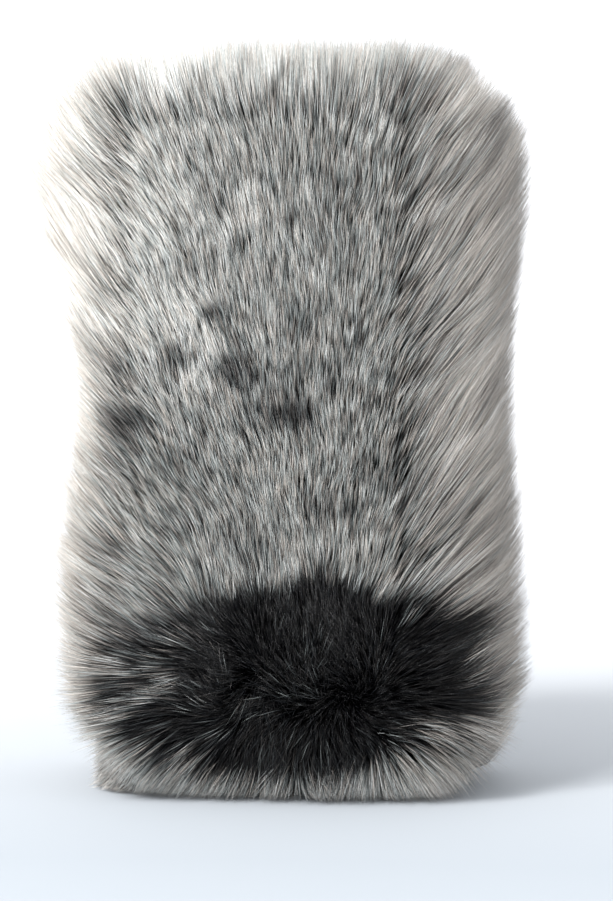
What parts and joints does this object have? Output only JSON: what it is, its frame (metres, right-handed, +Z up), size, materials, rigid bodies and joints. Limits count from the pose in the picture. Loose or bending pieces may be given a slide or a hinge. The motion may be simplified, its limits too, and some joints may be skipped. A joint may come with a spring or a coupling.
{
  "type": "furry windscreen",
  "caption": "Slip-on furry windscreen for a handheld recorder: a long-pile fur cover with a drawn-in waist, lined and bound at its mouth, that pulls up off a foam insert.",
  "frame": {"origin": "middle of the mouth, on the surface that the screen stands on", "axes": "+Z up towards the crown, -Y out of the front panel, +X to the right seen from the front"},
  "size_m": [0.107, 0.075, 0.1725],
  "materials": {
    "fur": "long acrylic pile, dark at the root and pale at the tip",
    "foam": "open-cell polyurethane foam",
    "seal_rubber": "satin closed-cell rubber",
    "mesh_lining": "warp-knit polyester mesh",
    "seam_tape": "plain woven tape",
    "thread": "spun polyester thread",
    "elastic": "braided elastic",
    "hem_cloth": "smooth black binding"
  },
  "bodies": {
    "foam_insert": {"foam_front_slab": "foam", "foam_back_slab": "foam", "foam_left_slab": "foam", "foam_right_slab": "foam", "foam_crown_slab": "foam", "mouth_seal_ring": "seal_rubber"},
    "fur_cover": {"fur_front_panel": "fur", "fur_back_panel": "fur", "fur_left_gusset": "fur", "fur_right_gusset": "fur", "fur_crown_gusset": "fur", "lining_front": "mesh_lining", "lining_back": "mesh_lining", "lining_left": "mesh_lining", "lining_right": "mesh_lining", "lining_crown": "mesh_lining", "front_seam_tape": "seam_tape", "back_seam_tape": "seam_tape", "front_seam_stitches": "thread", "back_seam_stitches": "thread", "waist_elastic": "elastic", "hem_binding": "hem_cloth", "hem_elastic": "elastic", "hem_stitches": "thread"}
  },
  "joints": [
    {"name": "cover_lift", "type": "slide", "parent": "foam_insert", "child": "fur_cover", "axis": [0, 0, 1], "range_m": [0, 0.165]}
  ]
}
